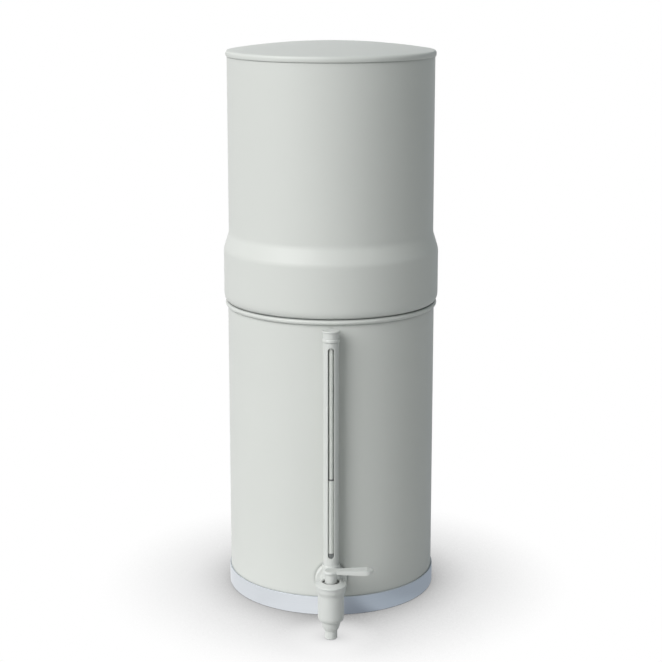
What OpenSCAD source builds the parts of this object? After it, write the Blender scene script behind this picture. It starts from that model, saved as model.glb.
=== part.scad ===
// Gravity water filter with a tap and a level gauge.
// Two painted sheet steel tanks stand one in the other. Water poured into the upper tank
// drips through ceramic candles in its floor into the lower tank, which the tap empties.
// Z is the common axis of the tanks, z = 0 is the table and the tap faces -Y.

/* [Lower tank] */
// Outside diameter of the lower tank
tank_od = 216; // [200:1:240]
// Thickness of the sheet steel of both tanks
wall_t = 1; // [0.8:0.1:1.3]
// Height of the middle of the rolled rim above the table
rim_z = 307.7; // [275:0.1:345]
// Height of the rolled rim
rim_h = 5.6; // [5.6:0.1:7]
// How far the rolled rim stands out from the wall
rim_out = 2.65; // [2.3:0.05:2.8]
// Height of the tank floor above the foot of the base ring
floor_recess = 11; // [8:1:13]

/* [Base ring] */
// Height of the bare steel base ring
ring_h = 19.5; // [16:0.5:22]
// Thickness of the base ring's steel
ring_t = 1.2; // [1:0.1:1.5]
// Width of the foot that the ring stands on
foot_w = 15; // [12:1:22]
// Radius of the ring's rounded top edge
ring_edge_r = 0.5; // [0.3:0.1:0.8]

/* [Upper tank] */
// Gap between the lower tank's wall and the upper tank that stands in it
nest_gap = 0.5; // [0.4:0.1:0.9]
// Depth to which the upper tank stands in the lower tank
nest_depth = 18; // [14:1:26]
// Height of the upper tank above its seat on the rim
upper_h = 257.3; // [235:0.1:315]
// How far the band stands out from the upper tank's wall
band_out = 5.3; // [4.9:0.1:6.5]
// Height of the band up to the start of the shoulder
band_h = 51.3; // [40:0.1:70]
// Height of the shoulder above the band
shoulder_h = 22.6; // [17:0.2:28]
// Height of the band's rounded lower edge
band_edge_h = 8.4; // [6:0.2:10]
// Width of the band's rounded lower edge
band_edge_w = 3.9; // [3.2:0.1:3.9]
// Width of the hem turned in at the top of the upper tank
hem_w = 2.4; // [2.2:0.1:3]
// Depth of that hem
hem_h = 5; // [4:0.5:7]
// Radius of the upper tank's bottom edge
bottom_edge_r = 6; // [4:0.5:9]

/* [Lid] */
// Thickness of the lid's steel
lid_t = 0.9; // [0.7:0.1:1.2]
// Gap between the lid's skirt and the upper tank's wall
lid_gap = 0.4; // [0.4:0.1:0.6]
// Depth of the skirt below the top of the upper tank
skirt_h = 5; // [4.5:0.5:8]
// Rise of the domed top above the lid's edge
crown_h = 8.3; // [5:0.1:14]
// Radius of the lid's rolled edge
lid_edge_r = 3; // [2.6:0.1:3.3]

/* [Candles] */
// Distance between the two candle axes
candle_spread = 96; // [84:1:110]
// Diameter of the ceramic candle
candle_d = 52; // [44:1:60]
// Length of the ceramic candle above its base
candle_h = 165; // [110:1:180]
// Wall of the ceramic candle
candle_wall = 8; // [6:0.5:10]
// Height of the plastic candle base
cup_h = 14; // [10:1:18]
// How far the candle base stands out from the ceramic
cup_out = 2; // [1.6:0.2:3]
// Diameter of the threaded stem under the candle
stem_d = 12; // [10:1:14]
// Length of the stem under the candle base
stem_len = 30; // [26:1:34]
// Bore of the stem
stem_bore = 5; // [4:0.5:6]
// Thickness of the candle's rubber washer
seal_t = 3; // [2:0.5:4]
// Diameter of the candle's rubber washer
seal_d = 34; // [28:1:38]
// Span of the wings of the nut under the floor
wing_span = 34; // [30:1:38]
// Height of the wing nut
wing_h = 12; // [10:1:14]

/* [Tap] */
// Height of the tap's shank above the table
tap_z = 40.7; // [39:0.1:46]
// Distance of the tap's barrel from the tank wall
tap_reach = 60; // [54:1:68]
// Diameter of the flange on the tank wall
flange_d = 32.4; // [30:0.2:36]
// Thickness of the flange
flange_t = 4; // [3:0.5:5]
// Diameter of the shank through the tank wall
shank_d = 16; // [15:0.5:18]
// Bore of the shank, the barrel's foot and the spout
water_bore = 8; // [7:0.5:9]
// Thickness of the rubber washers on both sides of the wall
washer_t = 2.4; // [2:0.1:2.6]
// Width across the flats of the back nut
nut_af = 27; // [25:1:30]
// Thickness of the back nut
nut_t = 9; // [7:1:11]
// Diameter of the tap's neck
neck_d = 19; // [17:0.5:20]
// Diameter of the barrel
barrel_d = 26; // [25:0.2:27.4]
// Height of the barrel above the shank axis
barrel_up = 16.5; // [15:0.1:17.5]
// Depth of the barrel below the shank axis
barrel_down = 22.4; // [20:0.1:23]
// Bore of the barrel that the valve core turns in
core_bore = 15.5; // [14.5:0.5:16.5]
// Diameter of the bonnet on top of the barrel
bonnet_d = 31; // [30.6:0.1:33]
// Height of the bonnet's upright side
bonnet_h = 2.2; // [1.6:0.1:2.6]
// Rise of the bonnet's sloping top
bonnet_rise = 2.3; // [2:0.1:4]
// Diameter of the hole in the bonnet
bonnet_hole = 16.9; // [15.6:0.1:17.6]
// Diameter of the spindle that rises from the bonnet
spindle_d = 12.2; // [11.6:0.2:13]
// Height of the top of the lever above the shank axis
lever_up = 30.7; // [29.7:0.1:34]
// Length of the lever from its axis to its tip
lever_len = 42; // [36:1:46]
// Width of the lever's paddle
lever_w = 13; // [10:0.2:14]
// Thickness of the lever's paddle
lever_t = 4.9; // [4:0.1:6]
// Diameter of the lever's hub
hub_d = 14.2; // [13.4:0.1:17]
// Height of the lever's hub
hub_h = 4.2; // [4:0.1:5.2]
// Diameter of the nozzle
nozzle_d = 12.5; // [11:0.1:12.8]
// Height of the nozzle's tip above the table
nozzle_tip_z = 0.5; // [0.5:0.5:3]

/* [Level gauge] */
// Distance of the gauge from the tank wall
gauge_off = 12; // [11.8:0.1:13]
// Diameter of the gauge casing
casing_d = 15.8; // [15.4:0.1:16.4]
// Width of the window in the casing
window_w = 6; // [5:0.5:7]
// Diameter of the clear tube
tube_d = 7.6; // [7.2:0.1:7.8]
// Wall of the clear tube
tube_wall = 0.45; // [0.3:0.05:0.5]
// Depth of the clear tube's front below the casing's front
tube_back = 0.6; // [0.5:0.1:1]
// Diameter of the rod that guides the float
rod_d = 4.5; // [4.1:0.1:4.6]
// Diameter of the boss that the casing stands in
boss_d = 18.5; // [18:0.1:18.8]
// Height of the boss above the shank axis
boss_up = 19.5; // [19:0.5:22]
// Gap between the rolled rim and the gauge's cap below it
gauge_rim_gap = 2.2; // [1:0.1:8]
// Diameter of the gauge's cap
cap_d = 17.6; // [17.2:0.1:18.2]
// Height of the gauge's cap
cap_h = 11.5; // [10:0.5:14]
// Length of the float
float_len = 83.3; // [60:0.1:100]

/* [Hidden] */

$fn = 128;
wall_fn = 4 * $fn;      // finer, where a washer follows the tank's wall
arc_steps = 8;          // points along a round stretch of an outline
crown_steps = 16;       // points along the lid's dome
cut = 1;                // overrun of every cut past the face that it opens

paint = "#d3d6d2";
bare_steel = "#c9ced4";
moulding = "#dcdedb";
ceramic = "#f1efe8";
carbon = "#2a2a2b";
rubber = "#3a3c3c";
clear = [0.85, 0.9, 0.92, 0.35];

// Clearances
seat_gap = 0.3;         // between bodies that rest on each other
run_gap = 0.05;         // radial, a part that turns in a bore or plugs into one
hole_gap = 0.5;         // radial, a shank or stem in a hole through sheet steel

// Lower tank and its base ring
tank_r = tank_od / 2;
tank_ir = tank_r - wall_t;
floor_z = ring_t + floor_recess;
floor_fillet_r = 4;
seam_r = 2;             // rounding between the floor and the seam below it
rim_r = (pow(rim_h / 2, 2) + pow(rim_out, 2)) / (2 * rim_out);
rim_mid_r = tank_r + rim_out - rim_r;
rim_low_a = asin(rim_h / 2 / rim_r);
rim_top_a = acos((tank_ir - rim_mid_r) / rim_r);
rim_top_z = rim_z + rim_r * sin(min(90, rim_top_a));
ring_fit = 0.15;        // gap between the ring and the wall
ring_r = tank_r + ring_fit + ring_t;

// Upper tank
seat_z = rim_top_z + seat_gap;
upper_r = tank_ir - nest_gap;
band_r = upper_r + band_out;
band_root_r = 0.8;      // rounding where the band's underside meets the nested foot
upper_floor_z = seat_z - nest_depth;
shoulder_z = seat_z + band_h;
shoulder_bend_share = 0.7; // of the largest bends that leave no straight slope between them
shoulder_r = shoulder_bend_share * (pow(shoulder_h, 2) + pow(band_out, 2)) / (4 * band_out);
bend_offset = 2 * shoulder_r - band_out;
bend_span = norm([bend_offset, shoulder_h]);
shoulder_a = asin(2 * shoulder_r / bend_span) - atan(bend_offset / shoulder_h);
upper_top_z = seat_z + upper_h;
hem_r = hem_w / 2;

// Lid
lid_ir = upper_r + lid_gap;
lid_r = lid_ir + lid_t;
lid_edge_z = upper_top_z + seat_gap + lid_t;
skirt_z = upper_top_z - skirt_h;
crown_r = lid_r - lid_edge_r;
crown_edge_a = 80;      // where the rolled edge hands over to the dome
tuck_w = 0.7;           // by which the skirt's foot is drawn in
tuck_share = 0.9;       // of the upright skirt
tuck_h = tuck_share * (lid_edge_z - lid_edge_r - skirt_z);

// Candles
candle_r = candle_d / 2;
cup_r = candle_r + cup_out;
cup_floor_t = 4;
cup_edge_r = 1.5;
washer_seat_z = upper_floor_z + wall_t;
cup_z = washer_seat_z + seal_t;
ceramic_z = cup_z + cup_floor_t;
dome_z = ceramic_z + candle_h - candle_r;
core_gap = 2;           // between the carbon core and the ceramic round it
core_edge_r = 4;
carbon_r = candle_r - candle_wall - core_gap;
wing_hub_r = 9.5;
wing_hub_h = 8;
wing_t = 3;

// Tap; u is the distance from the tanks' axis towards -Y
washer_gap = 0.3;       // by which the washers are smaller than what they seal
flange_u = tank_r + washer_t;
flange_face_u = flange_u + flange_t;
flange_edge_r = 2;
barrel_u = tank_r + tap_reach;
barrel_r = barrel_d / 2;
barrel_edge_w = 3.4;    // rounding of the barrel's foot
barrel_edge_h = 6;
spigot_grip = 2;        // height of the barrel's spigot that the bonnet holds
head_r = 14.6;          // widened head of the barrel under the bonnet
head_h = 3.4;
head_blend_h = 6;
neck_fillet_r = 2.5;    // between the neck and the flange
shank_r = shank_d / 2;
shank_tail = 3;         // thread left over behind the back nut
nut_u = tank_ir - washer_t;
shank_end_u = nut_u - nut_t - shank_tail;
barrel_top_z = tap_z + barrel_up;
barrel_low_z = tap_z - barrel_down;
core_r = core_bore / 2 - run_gap;
socket_r = 8;
socket_depth = 3;       // of the spout's plug in the foot of the barrel
core_seat_t = 2;
core_seat_z = barrel_low_z + socket_depth + core_seat_t;
collar_r = 9.5;         // the collar that the bonnet holds down
collar_t = 3.3;
collar_z = barrel_top_z - collar_t;
bonnet_low_z = barrel_top_z - spigot_grip;
bonnet_side_z = bonnet_low_z + bonnet_h;
head_z = bonnet_low_z - run_gap;
bonnet_r = bonnet_d / 2;
bonnet_edge_r = 1.2;
bonnet_rim_r = 1;
bonnet_slope_a = atan((bonnet_r - bonnet_edge_r - bonnet_hole / 2 - bonnet_rim_r)
    / (bonnet_rise - bonnet_rim_r + bonnet_edge_r)); // where its edges hand over to its sloping top
o_ring_d = 1.8;         // section of the O-rings
o_ring_r = core_bore / 2 - run_gap / 2 - o_ring_d / 2;
o_ring_land = 1.5;      // core left between a groove and the core's end
groove_h = o_ring_d + 4 * run_gap;
o_ring_heights = [core_seat_z + o_ring_land + groove_h / 2, collar_z - o_ring_land - groove_h / 2];
lever_top_z = tap_z + lever_up;
hub_r = hub_d / 2;
hub_foot_share = 0.88;
hub_waist_share = 0.3;
hub_edge_r = 1.6;
hub_z = lever_top_z - hub_h;
drive_w = 8;            // square at the top of the spindle, inside the hub
drive_h = 2.8;
lever_rise = 1.1;       // rise of the lever's tip above its hub
lever_tip_drop = 1.6;
lever_neck_t = 3.7;
lever_waist_share = 0.72;
lever_neck_share = 0.24;
lever_paddle_share = 0.78;
nozzle_r = nozzle_d / 2;
nozzle_h = 8.8;
nozzle_edge_r = 0.7;
spout_r = 9.3;
spout_step = 0.5;       // ledge between the nozzle and the cone above it
spout_z = nozzle_tip_z + nozzle_h;
spout_power = 2;        // shape of the spout's swelling cone

// Level gauge
gauge_u = tank_r + gauge_off;
casing_r = casing_d / 2;
tube_r = tube_d / 2;
tube_ir = tube_r - tube_wall;
tube_u = gauge_u + casing_r - tube_back - tube_r;
tube_gap = 0.1;         // between the tube and its channel in the casing
channel_r = tube_r + tube_gap;
boss_r = boss_d / 2;
boss_top_z = tap_z + boss_up;
boss_edge_w = 1.2;      // rounding of the boss's shoulder
boss_edge_h = 3.6;
casing_seat = 5;        // depth of the casing's foot in the boss
casing_z = boss_top_z - casing_seat;
cap_r = cap_d / 2;
cap_top_z = rim_z - rim_h / 2 - gauge_rim_gap;
cap_z = cap_top_z - cap_h;
cap_plate_t = 3;
cap_disc_t = 1.9;       // the disc on top, which stands out over the drum
cap_disc_r = 0.7;       // rounding of the disc
cap_step = 0.6;
cap_drum_r = cap_r - cap_step;
cap_ring_h = 3;         // the grip ring at the cap's foot
cap_ring_r = 0.5;       // rounding of the grip ring
cap_groove_h = 0.6;     // between the grip ring and the drum
cap_groove_depth = 0.3;
cap_groove_r = cap_drum_r - cap_groove_depth;
cap_line = 0.5;         // gap between the cap's foot and the casing's shoulder
vent_r = 0.8;
vent_recess_r = 2.6;
vent_recess_h = 0.6;
casing_top_z = cap_top_z - cap_plate_t;
casing_step = 0.5;      // of the shoulder under the cap
spigot_r = casing_r - casing_step;
spigot_z = cap_z - cap_line;
window_foot = 7.5;      // casing left between the boss and the window
window_head = 5.2;      // and between the window and the cap
window_z = boss_top_z + window_foot;
window_top_z = cap_z - window_head;
channel_roof = 1.5;     // casing left between the channel and the shoulder above it
channel_top_z = spigot_z - channel_roof;
seal_depth = 6;
seal_wall = 0.9;
seal_r = tube_r + seal_wall;
tube_z = casing_z - seal_depth;
tube_top_z = channel_top_z - seat_gap;
riser_r = 1.5;
rod_r = rod_d / 2;
rod_grip = 3;           // depth of the rod's ends in the casing and in the float stop
rod_top_z = channel_top_z + rod_grip;
breather_r = 0.4;       // way for air beside the rod, up through the casing's top
breather_u = tube_u - tube_ir + breather_r + run_gap;
float_gap = 0.25;
float_r = tube_ir - float_gap;
float_ir = rod_r + float_gap;
stop_lift = 1.5;        // space for water under the float stop
stop_top_z = window_z - seat_gap;
stop_r = tube_ir - run_gap;
stop_slot_w = 1.2;      // slots for water along the stop's sides
mark_t = 1.4;           // dark ring at the top of the float
mark_taper = 0.4;
foot_t = 5.2;           // dark foot at the bottom of the float
float_top_z = window_z + float_len;

// Points along an oval about c with the half axes rx and ry, from angle a0 to a1
function oval(c, rx, ry, a0, a1) = [for (i = [0:arc_steps])
    let (a = a0 + (a1 - a0) * i / arc_steps) [c[0] + rx * cos(a), c[1] + ry * sin(a)]];

function arc(c, r, a0, a1) = oval(c, r, r, a0, a1);

function backwards(points) = [for (i = [len(points) - 1:-1:0]) points[i]];

// Outline of a ring or tube with square ends
function tube_outline(in_r, out_r, from_z, to_z) =
    [[in_r, from_z], [out_r, from_z], [out_r, to_z], [in_r, to_z]];

// Revolve an outline of [radius, height] about the tanks' axis
module turned(points) rotate_extrude() polygon(points);

// The same about an upright axis at u in front of the tanks' axis
module turned_at(u, points) translate([0, -u, 0]) rotate_extrude() polygon(points);

// Revolve an outline of [radius, u] about the shank's axis
module turned_out(points) translate([0, 0, tap_z]) rotate([90, 0, 0]) rotate_extrude() polygon(points);

// Round bar along the shank's axis between two distances from the tanks' axis
module bar_out(r, from_u, to_u)
    translate([0, -from_u, tap_z]) rotate([90, 0, 0]) cylinder(r = r, h = to_u - from_u);

// Upright round bar at u in front of the tanks' axis
module post_at(u, r, from_z, to_z)
    translate([0, -u, from_z]) cylinder(r = r, h = to_z - from_z);

// Lower tank: rolled wall, floor pressed in above a seam, rim rolled outwards, hole for the tap
module lower_tank() color(paint) {
    outside = concat(
        [[tank_r, ring_t]],
        arc([rim_mid_r, rim_z], rim_r, -rim_low_a, rim_top_a));
    inside = concat(
        arc([tank_ir - floor_fillet_r, floor_z + wall_t + floor_fillet_r], floor_fillet_r, 0, -90),
        [[0, floor_z + wall_t], [0, floor_z]],
        arc([tank_ir - wall_t - seam_r, floor_z - seam_r], seam_r, 90, 0),
        [[tank_ir - wall_t, ring_t]]);
    difference() {
        turned(concat(outside, inside));
        bar_out(shank_r + hole_gap, tank_ir - floor_fillet_r, tank_r + cut);
    }
}

// Base ring: bare steel strip round the tank's foot, folded in below into the foot it stands on
module base_ring() color(bare_steel)
    turned(concat(
        [[ring_r - foot_w, 0]],
        arc([ring_r - ring_t, ring_t], ring_t, -90, 0),
        arc([ring_r - ring_edge_r, ring_h - ring_edge_r], ring_edge_r, 0, 90),
        [[tank_r + ring_fit, ring_h], [tank_r + ring_fit, ring_t], [ring_r - foot_w, ring_t]]));

// Side of the upper tank from its floor to the top of the shoulder, d inside its outer face
function upper_side(d) = concat(
    arc([upper_r - bottom_edge_r, upper_floor_z + bottom_edge_r], bottom_edge_r - d, -90, 0),
    arc([upper_r + band_root_r, seat_z - band_root_r], band_root_r + d, 180, 90),
    oval([band_r - band_edge_w, seat_z + band_edge_h], band_edge_w - d, band_edge_h - d, -90, 0),
    arc([band_r - shoulder_r, shoulder_z], shoulder_r - d, 0, shoulder_a),
    arc([upper_r + shoulder_r, shoulder_z + shoulder_h], shoulder_r + d, 180 + shoulder_a, 180));

// Upper tank: cylinder with a swelled band that rests on the rim, and two holes for candles
module upper_tank() color(paint) {
    outside = concat(
        [[0, upper_floor_z]],
        upper_side(0),
        arc([upper_r - hem_r, upper_top_z - hem_r], hem_r, 0, 180));
    inside = concat(
        [[upper_r - hem_w, upper_top_z - hem_h],
         [upper_r - wall_t, upper_top_z - hem_h - hem_w + wall_t]],
        backwards(upper_side(wall_t)),
        [[0, upper_floor_z + wall_t]]);
    difference() {
        turned(concat(outside, inside));
        for (side = [-1, 1])
            on_side(side) translate([0, 0, upper_floor_z - cut])
                cylinder(r = stem_d / 2 + hole_gap, h = wall_t + 2 * cut);
    }
}

// Lid: pressed cap, a shallow dome over a skirt that slips round the upper tank
module lid_shell() color(paint) {
    edge_c = [crown_r, lid_edge_z - lid_edge_r];
    dome = [for (i = [0:crown_steps]) let (share = i / crown_steps)
        [crown_r * share, lid_edge_z + crown_h * (1 - share * share)]];
    turned(concat(
        [[lid_ir, skirt_z]],
        oval([lid_r - tuck_w, skirt_z + tuck_h], tuck_w, tuck_h, -90, 0),
        arc(edge_c, lid_edge_r, 0, crown_edge_a),
        backwards(dome),
        [for (p = dome) [p[0], p[1] - lid_t]],
        arc(edge_c, lid_edge_r - lid_t, crown_edge_a, 0)));
}

// Place a piece on the axis of the left (-1) or right (1) candle
module on_side(side) translate([side * candle_spread / 2, 0, 0]) children();

// Hollow ceramic shell with a domed top
module candle_shell(side) color(ceramic) on_side(side)
    turned(concat(
        [[candle_r - candle_wall, ceramic_z], [candle_r, ceramic_z]],
        arc([0, dome_z], candle_r, 0, 90),
        arc([0, dome_z], candle_r - candle_wall, 90, 0)));

// Block of carbon inside the ceramic, bored from below
module candle_core(side) color(carbon) on_side(side)
    turned(concat(
        [[stem_bore / 2, ceramic_z], [carbon_r, ceramic_z]],
        arc([carbon_r - core_edge_r, dome_z - core_edge_r], core_edge_r, 0, 90),
        [[stem_bore / 2, dome_z]]));

// Moulded base: cup round the ceramic's foot and a threaded stem through the tank floor
module candle_base(side) color(moulding) on_side(side)
    turned(concat(
        [[stem_bore / 2, cup_z - stem_len], [stem_d / 2, cup_z - stem_len], [stem_d / 2, cup_z]],
        arc([cup_r - cup_edge_r, cup_z + cup_edge_r], cup_edge_r, -90, 0),
        [[cup_r, cup_z + cup_h], [candle_r + run_gap, cup_z + cup_h],
         [candle_r + run_gap, ceramic_z], [stem_bore / 2, ceramic_z]]));

// Rubber washer between the candle base and the tank floor
module candle_washer(side) color(rubber) on_side(side)
    turned(tube_outline(stem_d / 2 + run_gap, seal_d / 2, washer_seat_z, cup_z));

// Wing nut that draws the candle down from under the floor
module candle_wing_nut(side) color(moulding) on_side(side) difference() {
    tip = [wing_span / 2 - wing_t, wing_t - wing_h];
    union() {
        translate([0, 0, upper_floor_z - wing_hub_h]) cylinder(r = wing_hub_r, h = wing_hub_h);
        translate([0, wing_t / 2, upper_floor_z]) rotate([90, 0, 0]) linear_extrude(wing_t)
            polygon(concat(
                [[-wing_hub_r / 2, 0]],
                arc([-tip[0], tip[1]], wing_t, 135, 270),
                [[-wing_hub_r / 2, -wing_hub_h], [wing_hub_r / 2, -wing_hub_h]],
                arc(tip, wing_t, -90, 45),
                [[wing_hub_r / 2, 0]]));
    }
    translate([0, 0, upper_floor_z - wing_h - cut])
        cylinder(r = stem_d / 2 + run_gap, h = wing_h + 2 * cut);
}

// Tap body: flange, shank through the tank wall, neck, upright barrel and the gauge's boss
module tap_body() color(moulding) difference() {
    head_blend = [for (i = [0:arc_steps]) let (share = i / arc_steps)
        [barrel_r + (head_r - barrel_r) * (1 - cos(180 * share)) / 2,
         head_z - head_h - head_blend_h * (1 - share)]];
    union() {
        turned_out(concat(
            [[0, flange_u], [flange_d / 2, flange_u]],
            arc([flange_d / 2 - flange_edge_r, flange_face_u - flange_edge_r], flange_edge_r, 0, 90),
            arc([neck_d / 2 + neck_fillet_r, flange_face_u + neck_fillet_r], neck_fillet_r, -90, -180),
            [[0, flange_face_u + neck_fillet_r]]));
        bar_out(shank_r, shank_end_u, flange_u + flange_t / 2);
        bar_out(neck_d / 2, flange_u + flange_t / 2, barrel_u);
        turned_at(barrel_u, concat(
            [[0, barrel_low_z]],
            oval([barrel_r - barrel_edge_w, barrel_low_z + barrel_edge_h],
                barrel_edge_w, barrel_edge_h, -90, 0),
            head_blend,
            [[head_r, head_z], [barrel_r, head_z], [barrel_r, barrel_top_z], [0, barrel_top_z]]));
        turned_at(gauge_u, concat(
            [[0, tap_z], [boss_r, tap_z]],
            oval([boss_r - boss_edge_w, boss_top_z - boss_edge_h], boss_edge_w, boss_edge_h, 0, 90),
            [[0, boss_top_z]]));
    }
    bar_out(water_bore / 2, shank_end_u - cut, barrel_u);
    post_at(barrel_u, core_bore / 2, core_seat_z, barrel_top_z + cut);
    post_at(barrel_u, collar_r + run_gap, collar_z - run_gap, barrel_top_z + cut);
    post_at(barrel_u, water_bore / 2, barrel_low_z - cut, core_seat_z + cut);
    post_at(barrel_u, socket_r, barrel_low_z - cut, barrel_low_z + socket_depth);
    post_at(tube_u, riser_r, tap_z, tube_z + cut);
    post_at(tube_u, seal_r, tube_z, casing_z + cut);
    post_at(gauge_u, casing_r + run_gap, casing_z, boss_top_z + cut);
}

// Rubber washer squeezed between the flange and the round wall
module tap_outer_washer() color(rubber) difference() {
    bar_out(flange_d / 2 - washer_gap, tank_ir, flange_u);
    cylinder(r = tank_r + run_gap, h = tap_z + flange_d, $fn = wall_fn);
    bar_out(shank_r + run_gap, tank_ir - cut, flange_u + cut);
}

// The same on the inside of the wall, under the back nut
module tap_inner_washer() color(rubber) difference() {
    intersection() {
        bar_out(nut_af / 2, nut_u, tank_r);
        cylinder(r = tank_ir - run_gap, h = tap_z + flange_d, $fn = wall_fn);
    }
    bar_out(shank_r + run_gap, nut_u - cut, tank_r + cut);
}

// Hexagonal nut that holds the tap from inside the tank
module tap_back_nut() color(moulding) difference() {
    translate([0, -nut_u, tap_z]) rotate([-90, 0, 0]) linear_extrude(nut_t)
        circle(d = nut_af / cos(30), $fn = 6);
    bar_out(shank_r + run_gap, nut_u - nut_t - cut, nut_u + cut);
}

// Bonnet: ring screwed over the barrel's top, with a wide hole round the spindle
module tap_bonnet() color(moulding) turned_at(barrel_u, concat(
    [[barrel_r + run_gap, bonnet_low_z], [bonnet_r, bonnet_low_z]],
    arc([bonnet_r - bonnet_edge_r, bonnet_side_z - bonnet_edge_r], bonnet_edge_r, 0, bonnet_slope_a),
    arc([bonnet_hole / 2 + bonnet_rim_r, bonnet_side_z + bonnet_rise - bonnet_rim_r], bonnet_rim_r,
        bonnet_slope_a, 180),
    [[bonnet_hole / 2, barrel_top_z + run_gap], [barrel_r + run_gap, barrel_top_z + run_gap]]));

// Spout: plugs into the foot of the barrel and narrows to the nozzle
module tap_spout() color(moulding) {
    cone_h = barrel_low_z - spout_z;
    cone_foot_r = nozzle_r + spout_step;
    cone = [for (i = [0:arc_steps]) let (t = i / arc_steps)
        [cone_foot_r + (spout_r - cone_foot_r) * (1 - pow(1 - t, spout_power)), spout_z + cone_h * t]];
    turned_at(barrel_u, concat(
        [[water_bore / 2, nozzle_tip_z]],
        arc([nozzle_r - nozzle_edge_r, nozzle_tip_z + nozzle_edge_r], nozzle_edge_r, -90, 0),
        [[nozzle_r, spout_z]],
        cone,
        [[socket_r - run_gap, barrel_low_z], [socket_r - run_gap, barrel_low_z + socket_depth],
         [water_bore / 2, barrel_low_z + socket_depth]]));
}

// Valve core: ported plug, the collar that the bonnet holds down, and the spindle to the lever
module tap_valve_core() color(moulding) difference() {
    union() {
        post_at(barrel_u, core_r, core_seat_z + run_gap, collar_z + cut);
        post_at(barrel_u, collar_r, collar_z, barrel_top_z - run_gap);
        post_at(barrel_u, spindle_d / 2, collar_z, hub_z);
        translate([-drive_w / 2, -barrel_u - drive_w / 2, hub_z - cut])
            cube([drive_w, drive_w, drive_h + cut]);
    }
    post_at(barrel_u, water_bore / 2, core_seat_z - cut, tap_z);
    translate([0, -barrel_u, tap_z]) sphere(r = water_bore / 2);
    translate([0, -barrel_u, tap_z]) rotate([0, -90, 0]) cylinder(r = water_bore / 2, h = barrel_r);
    for (z = o_ring_heights)
        turned_at(barrel_u, tube_outline(o_ring_r - o_ring_d / 2 - run_gap, barrel_r,
            z - groove_h / 2, z + groove_h / 2));
}

// O-rings in the core's two grooves
module tap_o_rings() color(rubber)
    for (z = o_ring_heights)
        translate([0, -barrel_u, z]) rotate_extrude() translate([o_ring_r, 0]) circle(d = o_ring_d);

// Lever: round hub on the spindle's square, and a paddle that gets wider and thicker to its tip
module tap_lever() color(moulding) {
    waist = lever_w * lever_waist_share / 2;
    neck_x = lever_len * lever_neck_share;
    paddle_x = lever_len * lever_paddle_share;
    end_x = lever_len - lever_w / 2;
    paddle_rise = lever_rise * lever_paddle_share;
    side_view = [
        [0, -lever_neck_t], [0, 0], [neck_x, 0], [paddle_x, paddle_rise], [end_x, lever_rise],
        [lever_len + cut, lever_rise - lever_tip_drop],
        [lever_len + cut, lever_rise + lever_tip_drop - lever_t],
        [end_x, lever_rise - lever_t], [paddle_x, paddle_rise - lever_t], [neck_x, -lever_neck_t]];
    plan_view = concat(
        [[0, -waist], [neck_x, -waist], [paddle_x, -lever_w / 2]],
        arc([end_x, 0], lever_w / 2, -90, 90),
        [[paddle_x, lever_w / 2], [neck_x, waist], [0, waist]]);
    difference() {
        union() {
            turned_at(barrel_u, concat(
                [[0, hub_z], [hub_r * hub_foot_share, hub_z], [hub_r, hub_z + hub_h * hub_waist_share]],
                arc([hub_r - hub_edge_r, lever_top_z - hub_edge_r], hub_edge_r, 0, 90),
                [[0, lever_top_z]]));
            translate([0, -barrel_u, lever_top_z]) intersection() {
                translate([0, lever_w, 0]) rotate([90, 0, 0]) linear_extrude(2 * lever_w)
                    polygon(side_view);
                translate([0, 0, -2 * lever_t]) linear_extrude(4 * lever_t) polygon(plan_view);
            }
        }
        translate([-drive_w / 2 - run_gap, -barrel_u - drive_w / 2 - run_gap, hub_z - cut])
            cube([drive_w + 2 * run_gap, drive_w + 2 * run_gap, drive_h + run_gap + cut]);
    }
}

// Gauge casing: round column in the tap's boss, with a channel for the tube and a window in front
module gauge_casing() color(moulding) difference() {
    turned_at(gauge_u, [
        [0, casing_z], [casing_r, casing_z], [casing_r, spigot_z], [spigot_r, spigot_z],
        [spigot_r, casing_top_z], [0, casing_top_z]]);
    post_at(tube_u, channel_r, casing_z - cut, channel_top_z);
    post_at(tube_u, rod_r + run_gap, channel_top_z - cut, rod_top_z);
    post_at(breather_u, breather_r, channel_top_z - cut, casing_top_z + cut);
    translate([-window_w / 2, -gauge_u - casing_r - cut, window_z + window_w / 2])
        cube([window_w, gauge_u + casing_r + cut - tube_u, window_top_z - window_z - window_w]);
    for (z = [window_z + window_w / 2, window_top_z - window_w / 2])
        translate([0, -tube_u, z]) rotate([90, 0, 0]) cylinder(d = window_w, h = casing_r + cut);
}

// Clear tube that shows the level
module gauge_tube() color(clear)
    turned_at(tube_u, tube_outline(tube_ir, tube_r, tube_z, tube_top_z));

// Rubber bush that seals the tube's foot in the boss
module gauge_seal() color(rubber)
    turned_at(tube_u, tube_outline(tube_r + run_gap, seal_r - run_gap, tube_z, casing_z));

// Cap over the casing's top: disc, drum and grip ring, with a vent
module gauge_cap() color(moulding) turned_at(gauge_u, concat(
    [[spigot_r + run_gap, cap_z]],
    arc([cap_r - cap_ring_r, cap_z + cap_ring_r], cap_ring_r, -90, 0),
    arc([cap_r - cap_ring_r, cap_z + cap_ring_h - cap_ring_r], cap_ring_r, 0, 90),
    [[cap_groove_r, cap_z + cap_ring_h], [cap_groove_r, cap_z + cap_ring_h + cap_groove_h],
     [cap_drum_r, cap_z + cap_ring_h + cap_groove_h], [cap_drum_r, cap_top_z - cap_disc_t]],
    arc([cap_r - cap_disc_r, cap_top_z - cap_disc_t + cap_disc_r], cap_disc_r, -90, 0),
    arc([cap_r - cap_disc_r, cap_top_z - cap_disc_r], cap_disc_r, 0, 90),
    [[vent_r, cap_top_z], [vent_r, casing_top_z + vent_recess_h],
     [vent_recess_r, casing_top_z + vent_recess_h], [vent_recess_r, casing_top_z],
     [spigot_r + run_gap, casing_top_z]]));

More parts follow.
